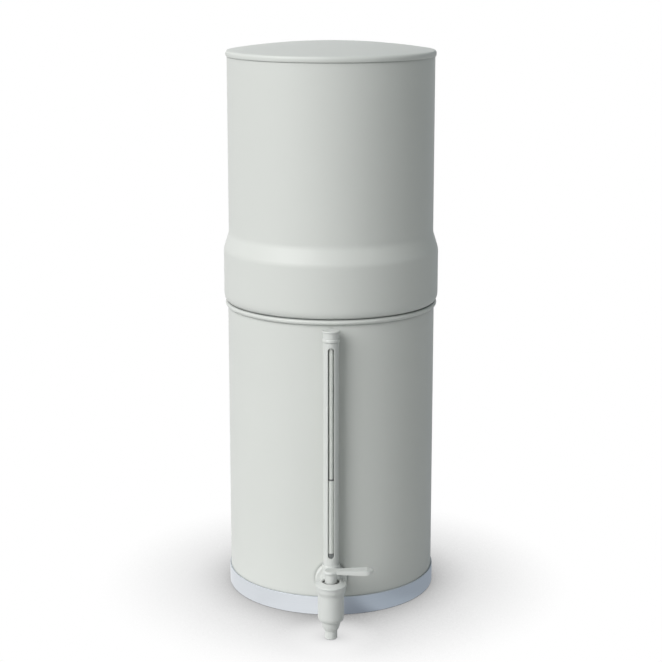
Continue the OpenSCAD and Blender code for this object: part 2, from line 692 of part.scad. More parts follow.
// Thin rod down the middle of the tube that the float slides on
module gauge_guide_rod() color(moulding)
    post_at(tube_u, rod_r, stop_top_z - rod_grip, rod_top_z);

// Plug in the tube's foot that holds the rod and carries the float, slotted to let water in
module gauge_float_stop() color(moulding) difference() {
    post_at(tube_u, stop_r, tube_z + stop_lift, stop_top_z);
    post_at(tube_u, rod_r + run_gap, stop_top_z - rod_grip, stop_top_z + cut);
    for (side = [-1, 1])
        translate([side * stop_r - stop_slot_w / 2, -tube_u - stop_slot_w / 2, tube_z])
            cube([stop_slot_w, stop_slot_w, window_z - tube_z]);
}

// Float: light sleeve between its dark foot and the dark ring at its top
module gauge_float() color(moulding)
    turned_at(tube_u, tube_outline(float_ir, float_r, window_z + foot_t, float_top_z - mark_t));

// Dark foot and dark top ring of the float
module gauge_float_bands() color(rubber) {
    turned_at(tube_u, tube_outline(float_ir, float_r, window_z, window_z + foot_t));
    turned_at(tube_u, [
        [float_ir, float_top_z - mark_t], [float_r, float_top_z - mark_t],
        [float_r - mark_taper, float_top_z], [float_ir, float_top_z]]);
}

lower_tank();
base_ring();
upper_tank();
lid_shell();
candle_shell(-1);  // candle_shell_left
candle_shell(1);  // candle_shell_right
candle_core(-1);  // candle_core_left
candle_core(1);  // candle_core_right
candle_base(-1);  // candle_base_left
candle_base(1);  // candle_base_right
candle_washer(-1);  // candle_washer_left
candle_washer(1);  // candle_washer_right
candle_wing_nut(-1);  // candle_wing_nut_left
candle_wing_nut(1);  // candle_wing_nut_right
tap_body();
tap_outer_washer();
tap_inner_washer();
tap_back_nut();
tap_bonnet();
tap_spout();
tap_valve_core();
tap_o_rings();
tap_lever();
gauge_casing();
gauge_tube();
gauge_seal();
gauge_cap();
gauge_guide_rod();
gauge_float_stop();
gauge_float();
gauge_float_bands();
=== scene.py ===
import math

import bmesh
import bpy
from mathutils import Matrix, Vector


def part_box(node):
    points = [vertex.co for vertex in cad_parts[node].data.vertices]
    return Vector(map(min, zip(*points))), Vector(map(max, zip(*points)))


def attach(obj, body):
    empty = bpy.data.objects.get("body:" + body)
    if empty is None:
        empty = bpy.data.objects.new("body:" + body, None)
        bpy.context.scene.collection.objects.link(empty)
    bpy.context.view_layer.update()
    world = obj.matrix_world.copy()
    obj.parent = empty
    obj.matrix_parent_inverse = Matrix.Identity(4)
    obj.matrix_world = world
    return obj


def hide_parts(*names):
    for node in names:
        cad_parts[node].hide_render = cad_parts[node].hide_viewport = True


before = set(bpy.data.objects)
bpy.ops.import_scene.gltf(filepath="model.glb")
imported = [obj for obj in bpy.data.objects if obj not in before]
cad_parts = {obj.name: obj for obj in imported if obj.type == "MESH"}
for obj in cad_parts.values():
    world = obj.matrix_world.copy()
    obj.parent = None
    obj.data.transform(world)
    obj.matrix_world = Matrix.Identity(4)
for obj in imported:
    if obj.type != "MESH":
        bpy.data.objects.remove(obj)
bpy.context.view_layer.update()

# The photographer's camera
# It stands in front of the tap, a little higher than the lid, and looks down on the filter.
# Its lens is a short telephoto, so the upright sides of the tanks stay almost parallel.

lens_mm = 92.4
sensor_mm = 36
lens_drop = 0.04  # of the frame, as on a view camera
camera_back = 1.75  # metres from the tanks' axis
camera_up = 0.6797  # metres above the table
look_down = 12.15  # degrees
nearest, farthest = 0.05, 50  # metres that the camera sees


def put(name, data):
    """Puts a new object with this data in the scene."""
    made = bpy.data.objects.new(name, data)
    bpy.context.scene.collection.objects.link(made)
    return made


camera_data = bpy.data.cameras.new("studio_camera")
camera_data.lens = lens_mm
camera_data.sensor_width = sensor_mm
camera_data.shift_y = -lens_drop
camera_data.clip_start, camera_data.clip_end = nearest, farthest
camera = put("studio_camera", camera_data)
camera.location = (0, -camera_back, camera_up)
camera.rotation_euler = (math.radians(90 - look_down), 0, 0)
bpy.context.scene.camera = camera

# The studio
# One large soft box stands to the left in front, and the room to the right is left dim, so that
# the round walls fall off into a soft shade. A weak lamp straight behind opens up the back, which
# the lens doesn't see. The background is white.

room_white = "#ffffff"
room_cool = "#eef6f4"
room_light = 0.24
dim_side = "#a3afb8"  # what the steel sees of the room to the right and overhead
dim_direction = (0.8, 0.0, 0.6)
dim_from, dim_all = -0.1, 0.7  # cosines to that direction where the room starts to dim and is dim
key_strength = 2.85
key_azimuth = 46  # degrees to the left of the camera
key_elevation = 34
key_softness = 50  # degrees across, as seen from the filter
fill_strength = 0.9
fill_azimuth = 180
fill_elevation = 5
fill_softness = 15
colour_a, colour_b, mixed = 6, 7, 2  # the sockets of a Mix node that mixes two colours


def linear(hex_colour):
    """The linear colour of an sRGB hex value."""
    parts = [int(hex_colour[i : i + 2], 16) / 255 for i in (1, 3, 5)]
    return [p / 12.92 if p <= 0.04045 else ((p + 0.055) / 1.055) ** 2.4 for p in parts] + [1.0]


def add_node(tree, kind, inputs=None, links=None, **settings):
    """Adds a node with its settings, its input values, and its links from other nodes' outputs."""
    made = tree.nodes.new(kind)
    for name, value in settings.items():
        setattr(made, name, value)
    for name, value in (inputs or {}).items():
        made.inputs[name].default_value = value
    for name, output in (links or {}).items():
        tree.links.new(output, made.inputs[name])
    return made


def add_lamp(name, strength, azimuth, elevation, softness):
    """Adds a far lamp that shines on the filter from so many degrees to the left of the camera."""
    lamp_data = bpy.data.lights.new(name, "SUN")
    lamp_data.energy = strength
    lamp_data.angle = math.radians(softness)
    lamp = put(name, lamp_data)
    lamp.rotation_euler = (math.radians(90 - elevation), 0, math.radians(-azimuth))
    return lamp


bpy.context.scene.view_settings.view_transform = "Standard"

world = bpy.data.worlds.new("studio_world")
bpy.context.scene.world = world
world.use_nodes = True
sky = world.node_tree
sky.nodes.clear()
ray = add_node(sky, "ShaderNodeLightPath")
through = add_node(sky, "ShaderNodeMath", operation="MAXIMUM",
                   links={0: ray.outputs["Is Camera Ray"], 1: ray.outputs["Is Transmission Ray"]})
soft_room = add_node(sky, "ShaderNodeBackground", {"Color": linear(room_cool), "Strength": room_light})
white_room = add_node(sky, "ShaderNodeBackground", {"Color": linear(room_white), "Strength": 1.0})
direction = add_node(sky, "ShaderNodeTexCoord")
right_and_up = add_node(sky, "ShaderNodeVectorMath", {1: dim_direction},
                        {0: direction.outputs["Generated"]}, operation="DOT_PRODUCT")
to_dim_side = add_node(sky, "ShaderNodeMapRange", {"From Min": dim_from, "From Max": dim_all},
                       {"Value": right_and_up.outputs["Value"]}, interpolation_type="SMOOTHSTEP")
mirrored = add_node(sky, "ShaderNodeMix", {colour_a: linear(room_white), colour_b: linear(dim_side)},
                    {"Factor": to_dim_side.outputs[0]}, data_type="RGBA")
mirrored_room = add_node(sky, "ShaderNodeBackground", {"Strength": 1.0},
                         {"Color": mirrored.outputs[mixed]})
room = add_node(sky, "ShaderNodeMixShader",
                links={0: ray.outputs["Is Glossy Ray"], 1: soft_room.outputs[0],
                       2: mirrored_room.outputs[0]})
seen_room = add_node(sky, "ShaderNodeMixShader",
                     links={0: through.outputs[0], 1: room.outputs[0], 2: white_room.outputs[0]})
add_node(sky, "ShaderNodeOutputWorld", links={"Surface": seen_room.outputs[0]})

add_lamp("soft_box", key_strength, key_azimuth, key_elevation, key_softness)
fill = add_lamp("back_fill", fill_strength, fill_azimuth, fill_elevation, fill_softness)
fill.visible_glossy = False

# The paper
# The lens sees it as pure white, with a painted shadow that gathers where the filter stands: a
# narrow one at the foot inside a wide one, drawn from how much sky is open there. The light that it
# throws back is its own, and steel sees a painted reflection of it.

paper_size = 6.0
paper_white = "#d9d9d9"
painted_foot_shadow = (0.05, 0.24)  # reach in metres, and the share of the glow that this painted shadow takes where no sky is open
painted_wide_shadow = (0.15, 0.92)
spout_place = (0.0, -0.168, 0.0)  # the painted shadow is made lighter round the spout
spout_reach = (0.02, 0.06)
spout_share = 0.5  # of the shadow that is left there
painted_shadow_lean = (-0.094, -0.034, 1.0)  # the open side, so that the painted shadow leans towards the right
# Painted reflection: what the steel sees of the paper, darker by metres to the right
painted_reflection_steps = (
    (0.0, "#ffffff"),  # white on the left
    (0.016, "#8b9199"),  # painted dark reflection
    (0.036, "#8f959d"),
    (0.056, "#bac1c9"),  # the dim wall beyond
    # painted reflection, a little lighter further out
    (0.085, "#b5bdc5"),
    (0.105, "#a8afb7"),
)


def new_material(name):
    """A new material and its node tree, which is still empty."""
    made = bpy.data.materials.new(name)
    made.use_nodes = True
    made.node_tree.nodes.clear()
    return made, made.node_tree


paper_mesh = bpy.data.meshes.new("paper")
half = paper_size / 2
paper_corners = [(-half, -half, 0), (half, -half, 0), (half, half, 0), (-half, half, 0)]
paper_mesh.from_pydata(paper_corners, [], [(0, 1, 2, 3)])
paper = put("paper", paper_mesh)

# Matt paper: an even white without any gloss, with a painted shadow round the filter and a painted
# reflection for the steel
matt_paper, tree = new_material("matt_paper")
ray = add_node(tree, "ShaderNodeLightPath")
sheet = add_node(tree, "ShaderNodeBsdfDiffuse", {"Color": linear(paper_white), "Roughness": 1.0})
lean = add_node(tree, "ShaderNodeVectorMath", {0: painted_shadow_lean}, operation="NORMALIZE")
shade = []
# Painted shadow: the glow that the lens sees is dimmed where little sky is open
for reach, taken_share in (painted_foot_shadow, painted_wide_shadow):
    open_sky = add_node(tree, "ShaderNodeAmbientOcclusion", {"Distance": reach},
                        {"Normal": lean.outputs[0]}, samples=6)
    taken = add_node(tree, "ShaderNodeMapRange",
                     {"From Min": 0.0, "From Max": 1.0, "To Min": taken_share, "To Max": 0.0},
                     {"Value": open_sky.outputs["AO"]})
    shade.append(taken.outputs[0])
gathered = add_node(tree, "ShaderNodeMath", links={0: shade[0], 1: shade[1]}, operation="ADD")
place = add_node(tree, "ShaderNodeTexCoord")
from_spout = add_node(tree, "ShaderNodeVectorMath", {1: spout_place}, {0: place.outputs["Object"]},
                      operation="DISTANCE")
# Painted shadow made lighter round the spout
kept = add_node(tree, "ShaderNodeMapRange",
                {"From Min": spout_reach[0], "From Max": spout_reach[1],
                 "To Min": spout_share, "To Max": 1.0},
                {"Value": from_spout.outputs["Value"]}, interpolation_type="SMOOTHSTEP")
shadow = add_node(tree, "ShaderNodeMath", links={0: gathered.outputs[0], 1: kept.outputs[0]},
                  operation="MULTIPLY")
light_left = add_node(tree, "ShaderNodeMath", {0: 1.0}, {1: shadow.outputs[0]}, operation="SUBTRACT")
shown = add_node(tree, "ShaderNodeEmission", {"Color": linear(room_white)},
                 {"Strength": light_left.outputs[0]})
# Painted reflection: glossy rays see this ramp of colours instead of the lit paper
sideways = add_node(tree, "ShaderNodeSeparateXYZ", links={0: place.outputs["Object"]})
painted_reflection_reach = painted_reflection_steps[-1][0]
to_the_right = add_node(tree, "ShaderNodeMapRange", {"From Min": 0.0, "From Max": painted_reflection_reach},
                        {"Value": sideways.outputs["X"]})
steps = add_node(tree, "ShaderNodeValToRGB", links={"Fac": to_the_right.outputs[0]})
ramp = steps.color_ramp
ramp.elements.remove(ramp.elements[1])
ramp.elements[0].color = linear(painted_reflection_steps[0][1])
for at, colour in painted_reflection_steps[1:]:
    ramp.elements.new(at / painted_reflection_reach).color = linear(colour)
mirrored = add_node(tree, "ShaderNodeEmission", {"Strength": 1.0}, {"Color": steps.outputs["Color"]})
unseen = add_node(tree, "ShaderNodeMixShader",
                  links={0: ray.outputs["Is Glossy Ray"], 1: sheet.outputs[0], 2: mirrored.outputs[0]})
through = add_node(tree, "ShaderNodeMath", operation="MAXIMUM",
                   links={0: ray.outputs["Is Camera Ray"], 1: ray.outputs["Is Transmission Ray"]})
seen = add_node(tree, "ShaderNodeMixShader",
                links={0: through.outputs[0], 1: unseen.outputs[0], 2: shown.outputs[0]})
add_node(tree, "ShaderNodeOutputMaterial", links={"Surface": seen.outputs[0]})
paper_mesh.materials.append(matt_paper)

# Base ring
# A strip of stainless steel, rolled into a ring and folded in below into the foot that it stands
# on. The lower tank is pressed into it. The strip is left as it came from the rolls.

steel_light = "#e4e7eb"
steel_dark = "#d2d8de"
steel_roughness = 0.34
steel_uneven = 0.06  # of roughness, either way
line_height_mm = 0.14  # between two lines of the rolls
line_length_mm = 45
line_depth_mm = 0.002
dull_edge_and_shade_colour = "#c4c9ce"  # the sheared top edge, darker also as painted shade
edge_from, edge_all = 0.1, 0.4  # how far a face looks up where the dull, shaded edge starts and is whole


def finish_node(name, material):
    """Gives a CAD node one material on all its faces."""
    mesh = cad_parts[name].data
    mesh.materials.clear()
    mesh.materials.append(material)


# Rolled stainless steel: satin, with fine lines round the ring that draw every reflection out
# upwards. Faces that look up are dull and darker, partly as the sheared edge and partly as painted
# shade, so that no bright line runs along the top.
rolled_steel, tree = new_material("rolled_stainless_steel")
place = add_node(tree, "ShaderNodeTexCoord")
stretched = add_node(tree, "ShaderNodeMapping",
                     {"Scale": (1000 / line_length_mm, 1000 / line_length_mm, 1000 / line_height_mm)},
                     {"Vector": place.outputs["Object"]})
lines = add_node(tree, "ShaderNodeTexNoise", {"Scale": 1.0, "Detail": 3.0},
                 {"Vector": stretched.outputs[0]})
tone = add_node(tree, "ShaderNodeMix", {colour_a: linear(steel_dark), colour_b: linear(steel_light)},
                {"Factor": lines.outputs["Fac"]}, data_type="RGBA")
polish = add_node(tree, "ShaderNodeMapRange",
                  {"To Min": steel_roughness - steel_uneven, "To Max": steel_roughness + steel_uneven},
                  {"Value": lines.outputs["Fac"]})
grooves = add_node(tree, "ShaderNodeBump", {"Strength": 1.0, "Distance": line_depth_mm / 1000},
                   {"Height": lines.outputs["Fac"]})
around = add_node(tree, "ShaderNodeTangent", direction_type="RADIAL", axis="Z")
metal = add_node(tree, "ShaderNodeBsdfPrincipled", {"Metallic": 1.0, "Anisotropic": 0.6},
                 {"Base Color": tone.outputs[mixed], "Roughness": polish.outputs[0],
                  "Normal": grooves.outputs[0], "Tangent": around.outputs[0]})
# Dull sheared edge with painted shade, on all faces that look up
sheared_and_shaded = add_node(tree, "ShaderNodeBsdfPrincipled",
                   {"Base Color": linear(dull_edge_and_shade_colour), "Metallic": 0.5, "Roughness": 0.7,
                    "Specular IOR Level": 0.1})
facing = add_node(tree, "ShaderNodeNewGeometry")
upwards = add_node(tree, "ShaderNodeSeparateXYZ", links={0: facing.outputs["Normal"]})
dull_edge_and_shade_share = add_node(tree, "ShaderNodeMapRange", {"From Min": edge_from, "From Max": edge_all},
                   {"Value": upwards.outputs["Z"]})
strip = add_node(tree, "ShaderNodeMixShader",
                 links={0: dull_edge_and_shade_share.outputs[0], 1: metal.outputs[0], 2: sheared_and_shaded.outputs[0]})
add_node(tree, "ShaderNodeOutputMaterial", links={"Surface": strip.outputs[0]})
finish_node("base_ring", rolled_steel)

# Tanks and lid
# Stainless sheet, rolled and welded, with pressed floors, a rolled rim and a pressed lid. It is
# powder coated outside. Inside, where the water stands, the sheet is bare.

powder_colour = "#d8dad6"
powder_shade = "#d4d6d2"
powder_roughness = 0.46
powder_uneven = 0.04  # of roughness, either way
cloud_mm = 111  # between the faint clouds in the coat's colour
peel_mm = 1.4  # from crest to crest of the orange peel
peel_depth_mm = 0.012
seam_mm = 4  # how near the next sheet stands where painted shade darkens a seam
painted_seam_shade = "#6f7371"
seam_from, seam_all = 0.95, 0.4  # the open share of the sky where a seam starts and ends to darken
painted_seam_share = 0.8  # of the painted seam shade at the darkest
bare_colour = "#dee1e4"
bare_worn = "#ccd1d5"
bare_roughness = 0.42
wear_mm = 16.7  # between worn places
level = (1.0, 1.0, 0.0)  # leaves the height out of a place
inside_below = -0.5  # a face is inside below this: 1 looks straight out, and -1 at the axis

# Powder coat: a warm pale grey, whose satin skin has the faint orange peel of baked powder.
# Bare steel inside: grey and satin, with worn places. Painted shade darkens the coat in seams and
# under the lid's skirt, where little sky is open.
powder_coat, tree = new_material("powder_coat")
place = add_node(tree, "ShaderNodeTexCoord")
peel = add_node(tree, "ShaderNodeTexNoise", {"Scale": 1000 / peel_mm, "Detail": 2.0, "Roughness": 0.4},
                {"Vector": place.outputs["Object"]})
clouds = add_node(tree, "ShaderNodeTexNoise", {"Scale": 1000 / cloud_mm, "Detail": 2.0},
                  {"Vector": place.outputs["Object"]})
tone = add_node(tree, "ShaderNodeMix",
                {colour_a: linear(powder_shade), colour_b: linear(powder_colour)},
                {"Factor": clouds.outputs["Fac"]}, data_type="RGBA")
# Painted shade: the coat is darkened where little sky is open
open_side = add_node(tree, "ShaderNodeAmbientOcclusion", {"Distance": seam_mm / 1000}, samples=6)
in_painted_seam_shade = add_node(tree, "ShaderNodeMapRange",
                   {"From Min": seam_all, "From Max": seam_from, "To Min": painted_seam_share, "To Max": 0.0},
                   {"Value": open_side.outputs["AO"]})
shaded = add_node(tree, "ShaderNodeMix", {colour_b: linear(painted_seam_shade)},
                  {"Factor": in_painted_seam_shade.outputs[0], colour_a: tone.outputs[mixed]}, data_type="RGBA")
skin = add_node(tree, "ShaderNodeBump", {"Strength": 1.0, "Distance": peel_depth_mm / 1000},
                {"Height": peel.outputs["Fac"]})
satin = add_node(tree, "ShaderNodeMapRange",
                 {"To Min": powder_roughness - powder_uneven, "To Max": powder_roughness + powder_uneven},
                 {"Value": peel.outputs["Fac"]})
coat = add_node(tree, "ShaderNodeBsdfPrincipled", {"Specular IOR Level": 0.45},
                {"Base Color": shaded.outputs[mixed], "Roughness": satin.outputs[0],
                 "Normal": skin.outputs[0]})
worn = add_node(tree, "ShaderNodeTexNoise", {"Scale": 1000 / wear_mm, "Detail": 4.0},
                {"Vector": place.outputs["Object"]})
bare_tone = add_node(tree, "ShaderNodeMix", {colour_a: linear(bare_worn), colour_b: linear(bare_colour)},
                     {"Factor": worn.outputs["Fac"]}, data_type="RGBA")
bare = add_node(tree, "ShaderNodeBsdfPrincipled", {"Metallic": 1.0, "Roughness": bare_roughness},
                {"Base Color": bare_tone.outputs[mixed]})
flat = add_node(tree, "ShaderNodeVectorMath", {1: level}, {0: place.outputs["Object"]},
                operation="MULTIPLY")
facing = add_node(tree, "ShaderNodeNewGeometry")
outwards = add_node(tree, "ShaderNodeVectorMath",
                    links={0: flat.outputs[0], 1: facing.outputs["True Normal"]}, operation="DOT_PRODUCT")
from_axis = add_node(tree, "ShaderNodeVectorMath", links={0: flat.outputs[0]}, operation="LENGTH")
looks_out = add_node(tree, "ShaderNodeMath",
                     links={0: outwards.outputs["Value"], 1: from_axis.outputs["Value"]},
                     operation="DIVIDE")
inside = add_node(tree, "ShaderNodeMath", {1: inside_below}, {0: looks_out.outputs[0]},
                  operation="LESS_THAN")
sheet_metal = add_node(tree, "ShaderNodeMixShader",
                       links={0: inside.outputs[0], 1: coat.outputs[0], 2: bare.outputs[0]})
add_node(tree, "ShaderNodeOutputMaterial", links={"Surface": sheet_metal.outputs[0]})
for name in ("lower_tank", "upper_tank", "lid_shell"):
    finish_node(name, powder_coat)

# Filter candles
# Each is a shell of fired ceramic round a block of pressed carbon. Its base is moulded in pale
# grey ABS with a stem that goes through the tank floor, where a rubber washer lies above and a
# wing nut of the same plastic holds it below.

ceramic_light = "#f3f0e8"
ceramic_dark = "#e6e2d7"
pore_mm = 0.7  # the real pores are finer, and wouldn't show
pore_depth_mm = 0.03
carbon_colour = "#1f2021"
carbon_fleck = "#3b3c3d"
grain_mm = 0.5
grain_depth_mm = 0.08
rubber_colour = "#2b2c2d"
rubber_bloom = "#3a3b3c"
bloom_mm = 4
bloom_depth_mm = 0.02
abs_light = "#d6d8d5"
abs_dark = "#d2d4d1"
abs_roughness = 0.45
flow_mm = 14  # length of the faint waves where the plastic flowed
flow_depth_mm = 0.01
gap_mm = 4  # how near the next moulding stands where painted shade darkens a gap
painted_gap_shade = "#3c3f3f"
gap_from, gap_all = 0.5, 0.12  # the open share of the sky where a gap starts and ends to darken
gap_top = 0.066  # the painted gap shade stays below this height, round the tap
weld_mm = 0.001  # corners nearer than this become one before the remesh


def mould(name, body, grid_mm, passes, keep_faces):
    """Shows a CAD node by a copy with its edges rounded and its inner corners filled, as a mould leaves
    them. The copy is remeshed on a grid, smoothed and thinned out to a share of its faces."""
    made = put(name + "_moulding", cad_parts[name].data.copy())
    work = bmesh.new()
    work.from_mesh(made.data)
    bmesh.ops.remove_doubles(work, verts=work.verts, dist=weld_mm / 1000)
    work.to_mesh(made.data)
    work.free()
    remesh = made.modifiers.new("even_grid", "REMESH")
    remesh.mode = "VOXEL"
    remesh.voxel_size = grid_mm / 1000
    ease = made.modifiers.new("rounding", "SMOOTH")
    ease.factor = 0.5
    ease.iterations = passes
    fewer = made.modifiers.new("fewer_faces", "DECIMATE")
    fewer.ratio = keep_faces
    built = bpy.data.meshes.new_from_object(made.evaluated_get(bpy.context.evaluated_depsgraph_get()))
    built.name = made.name
    made.modifiers.clear()
    made.data = built
    built.shade_smooth()
    built.materials.clear()
    built.materials.append(moulded_abs)
    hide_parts(name)
    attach(made, body)


# Fired ceramic: unglazed so that the water seeps through it, and so chalky, with fine pores
fired_ceramic, tree = new_material("fired_ceramic")
place = add_node(tree, "ShaderNodeTexCoord")
pores = add_node(tree, "ShaderNodeTexNoise", {"Scale": 1000 / pore_mm, "Detail": 4.0},
                 {"Vector": place.outputs["Object"]})
tone = add_node(tree, "ShaderNodeMix",
                {colour_a: linear(ceramic_dark), colour_b: linear(ceramic_light)},
                {"Factor": pores.outputs["Fac"]}, data_type="RGBA")
chalky = add_node(tree, "ShaderNodeBump", {"Strength": 1.0, "Distance": pore_depth_mm / 1000},
                  {"Height": pores.outputs["Fac"]})
biscuit = add_node(tree, "ShaderNodeBsdfPrincipled", {"Roughness": 0.85, "Specular IOR Level": 0.3},
                   {"Base Color": tone.outputs[mixed], "Normal": chalky.outputs[0]})
add_node(tree, "ShaderNodeOutputMaterial", links={"Surface": biscuit.outputs[0]})

# Pressed carbon: black and gritty, with lighter grains
pressed_carbon, tree = new_material("pressed_carbon")
place = add_node(tree, "ShaderNodeTexCoord")
grains = add_node(tree, "ShaderNodeTexVoronoi", {"Scale": 1000 / grain_mm},
                  {"Vector": place.outputs["Object"]})
tone = add_node(tree, "ShaderNodeMix",
                {colour_a: linear(carbon_colour), colour_b: linear(carbon_fleck)},
                {"Factor": grains.outputs["Distance"]}, data_type="RGBA")
gritty = add_node(tree, "ShaderNodeBump", {"Strength": 1.0, "Distance": grain_depth_mm / 1000},
                  {"Height": grains.outputs["Distance"]})
block = add_node(tree, "ShaderNodeBsdfPrincipled", {"Roughness": 0.9},
                 {"Base Color": tone.outputs[mixed], "Normal": gritty.outputs[0]})
add_node(tree, "ShaderNodeOutputMaterial", links={"Surface": block.outputs[0]})

# Moulded rubber: matt and nearly black, with a faint grey bloom
moulded_rubber, tree = new_material("moulded_rubber")
place = add_node(tree, "ShaderNodeTexCoord")
bloom = add_node(tree, "ShaderNodeTexNoise", {"Scale": 1000 / bloom_mm, "Detail": 3.0},
                 {"Vector": place.outputs["Object"]})
tone = add_node(tree, "ShaderNodeMix",
                {colour_a: linear(rubber_colour), colour_b: linear(rubber_bloom)},
                {"Factor": bloom.outputs["Fac"]}, data_type="RGBA")
matt = add_node(tree, "ShaderNodeBump", {"Strength": 1.0, "Distance": bloom_depth_mm / 1000},
                {"Height": bloom.outputs["Fac"]})
rubber = add_node(tree, "ShaderNodeBsdfPrincipled", {"Roughness": 0.7, "Specular IOR Level": 0.35},
                  {"Base Color": tone.outputs[mixed], "Normal": matt.outputs[0]})
add_node(tree, "ShaderNodeOutputMaterial", links={"Surface": rubber.outputs[0]})

# Moulded ABS: even, with a low gloss and faint waves where the plastic flowed. Round the tap its
# narrow gaps get painted shade, darker where little sky is open.
moulded_abs, tree = new_material("moulded_abs")
place = add_node(tree, "ShaderNodeTexCoord")
flow = add_node(tree, "ShaderNodeTexNoise", {"Scale": 1000 / flow_mm, "Detail": 1.0},
                {"Vector": place.outputs["Object"]})
tone = add_node(tree, "ShaderNodeMix", {colour_a: linear(abs_dark), colour_b: linear(abs_light)},
                {"Factor": flow.outputs["Fac"]}, data_type="RGBA")
# Painted shade: gaps below the tap's top are darkened where little sky is open
open_side = add_node(tree, "ShaderNodeAmbientOcclusion", {"Distance": gap_mm / 1000}, samples=6)
in_gap = add_node(tree, "ShaderNodeMapRange",
                  {"From Min": gap_all, "From Max": gap_from, "To Min": 1.0, "To Max": 0.0},
                  {"Value": open_side.outputs["AO"]}, interpolation_type="SMOOTHSTEP")
height = add_node(tree, "ShaderNodeSeparateXYZ", links={0: place.outputs["Object"]})
at_tap = add_node(tree, "ShaderNodeMath", {1: gap_top}, {0: height.outputs["Z"]}, operation="LESS_THAN")
painted_gap_shading = add_node(tree, "ShaderNodeMath", links={0: in_gap.outputs[0], 1: at_tap.outputs[0]},
                operation="MULTIPLY")
shaded = add_node(tree, "ShaderNodeMix", {colour_b: linear(painted_gap_shade)},
                  {"Factor": painted_gap_shading.outputs[0], colour_a: tone.outputs[mixed]}, data_type="RGBA")
waves = add_node(tree, "ShaderNodeBump", {"Strength": 1.0, "Distance": flow_depth_mm / 1000},
                 {"Height": flow.outputs["Fac"]})
plastic = add_node(tree, "ShaderNodeBsdfPrincipled", {"Roughness": abs_roughness, "IOR": 1.54},
                   {"Base Color": shaded.outputs[mixed], "Normal": waves.outputs[0]})
add_node(tree, "ShaderNodeOutputMaterial", links={"Surface": plastic.outputs[0]})

for side in ("left", "right"):
    finish_node(f"candle_shell_{side}", fired_ceramic)
    finish_node(f"candle_core_{side}", pressed_carbon)
    finish_node(f"candle_base_{side}", moulded_abs)
    finish_node(f"candle_washer_{side}", moulded_rubber)
    mould(f"candle_wing_nut_{side}", "upper", grid_mm=0.35, passes=4, keep_faces=0.5)

# Threads of the candle stems
# Each stem is moulded with a coarse rounded thread that starts a little above its end. Only the
# stretch below the wing nut is made here, which shows when the upper tank is lifted off.

stem_width_mm = 12
thread_pitch_mm = 1.75
thread_depth_mm = 0.3
thread_start_mm = 1.2  # plain end of the stem, which guides the nut
thread_clear_mm = 0.6  # below the nut
steps_a_turn = 40
run_out_turns = 0.5  # in which the thread rises from the stem at each end
# The points across the thread: how far out as shares of its depth, how far up as shares of its pitch
thread_shares = ((-0.2, -0.42), (0.75, -0.18), (1.0, 0.0), (0.75, 0.18), (-0.2, 0.42))

across = len(thread_shares)
run_out_steps = run_out_turns * steps_a_turn
for side in ("left", "right"):
    base_low, base_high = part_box(f"candle_base_{side}")
    nut_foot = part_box(f"candle_wing_nut_{side}")[0].z
    axis_x, axis_y = (base_low.x + base_high.x) / 2, (base_low.y + base_high.y) / 2
    first, last = base_low.z + thread_start_mm / 1000, nut_foot - thread_clear_mm / 1000
    pitch, radius = thread_pitch_mm / 1000, stem_width_mm / 2000
    count = int((last - first) / pitch * steps_a_turn)
    corners, faces = [], []
    for i in range(count + 1):
        turn = 2 * math.pi * i / steps_a_turn
        z = first + pitch * i / steps_a_turn
        risen = min(1.0, i / run_out_steps, (count - i) / run_out_steps)
        for out, up in thread_shares:
            r = radius + thread_depth_mm / 1000 * (out * risen if out > 0 else out)
            corners.append((axis_x + r * math.cos(turn), axis_y + r * math.sin(turn), z + up * pitch))
        if i:
            here, before = across * i, across * (i - 1)
            faces += [(before + k, before + k + 1, here + k + 1, here + k) for k in range(across - 1)]
    thread_mesh = bpy.data.meshes.new(f"candle_thread_{side}")
    thread_mesh.from_pydata(corners, [], faces)
    thread_mesh.shade_smooth()
    thread_mesh.materials.append(moulded_abs)
    thread = put(f"candle_thread_{side}", thread_mesh)
    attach(thread, "upper")

# Tap
# The body is one moulding of the pale grey ABS, which matches the tanks. Bonnet, spout, valve core
# and lever fit into it. It is held by a nut inside the tank, with a silicone washer on each side
# of the wall.

silicone_light = "#c8cac7"
silicone_dark = "#bec0bd"
haze_mm = 5.6
haze_depth_mm = 0.02

# Moulded silicone: milky and soft, so that the washer's edge hardly shows beside the flange
moulded_silicone, tree = new_material("moulded_silicone")
place = add_node(tree, "ShaderNodeTexCoord")
haze = add_node(tree, "ShaderNodeTexNoise", {"Scale": 1000 / haze_mm, "Detail": 2.0},
                {"Vector": place.outputs["Object"]})
tone = add_node(tree, "ShaderNodeMix",
                {colour_a: linear(silicone_dark), colour_b: linear(silicone_light)},
                {"Factor": haze.outputs["Fac"]}, data_type="RGBA")
soft_skin = add_node(tree, "ShaderNodeBump", {"Strength": 1.0, "Distance": haze_depth_mm / 1000},
                     {"Height": haze.outputs["Fac"]})
silicone = add_node(tree, "ShaderNodeBsdfPrincipled", {"Roughness": 0.55, "IOR": 1.41},
                    {"Base Color": tone.outputs[mixed], "Normal": soft_skin.outputs[0]})
add_node(tree, "ShaderNodeOutputMaterial", links={"Surface": silicone.outputs[0]})

for name in ("tap_spout", "tap_valve_core", "tap_back_nut"):
    finish_node(name, moulded_abs)
for name in ("tap_outer_washer", "tap_inner_washer"):
    finish_node(name, moulded_silicone)
finish_node("tap_o_rings", moulded_rubber)
mould("tap_body", "base", grid_mm=0.4, passes=5, keep_faces=0.5)
mould("tap_bonnet", "base", grid_mm=0.25, passes=4, keep_faces=0.5)
mould("tap_lever", "lever", grid_mm=0.25, passes=5, keep_faces=0.6)

# Level gauge
# A clear tube stands in a moulded column with a window down its front. Water rises in it to the
# level in the tank and lifts a light float with a dark ring, along a thin white rod.

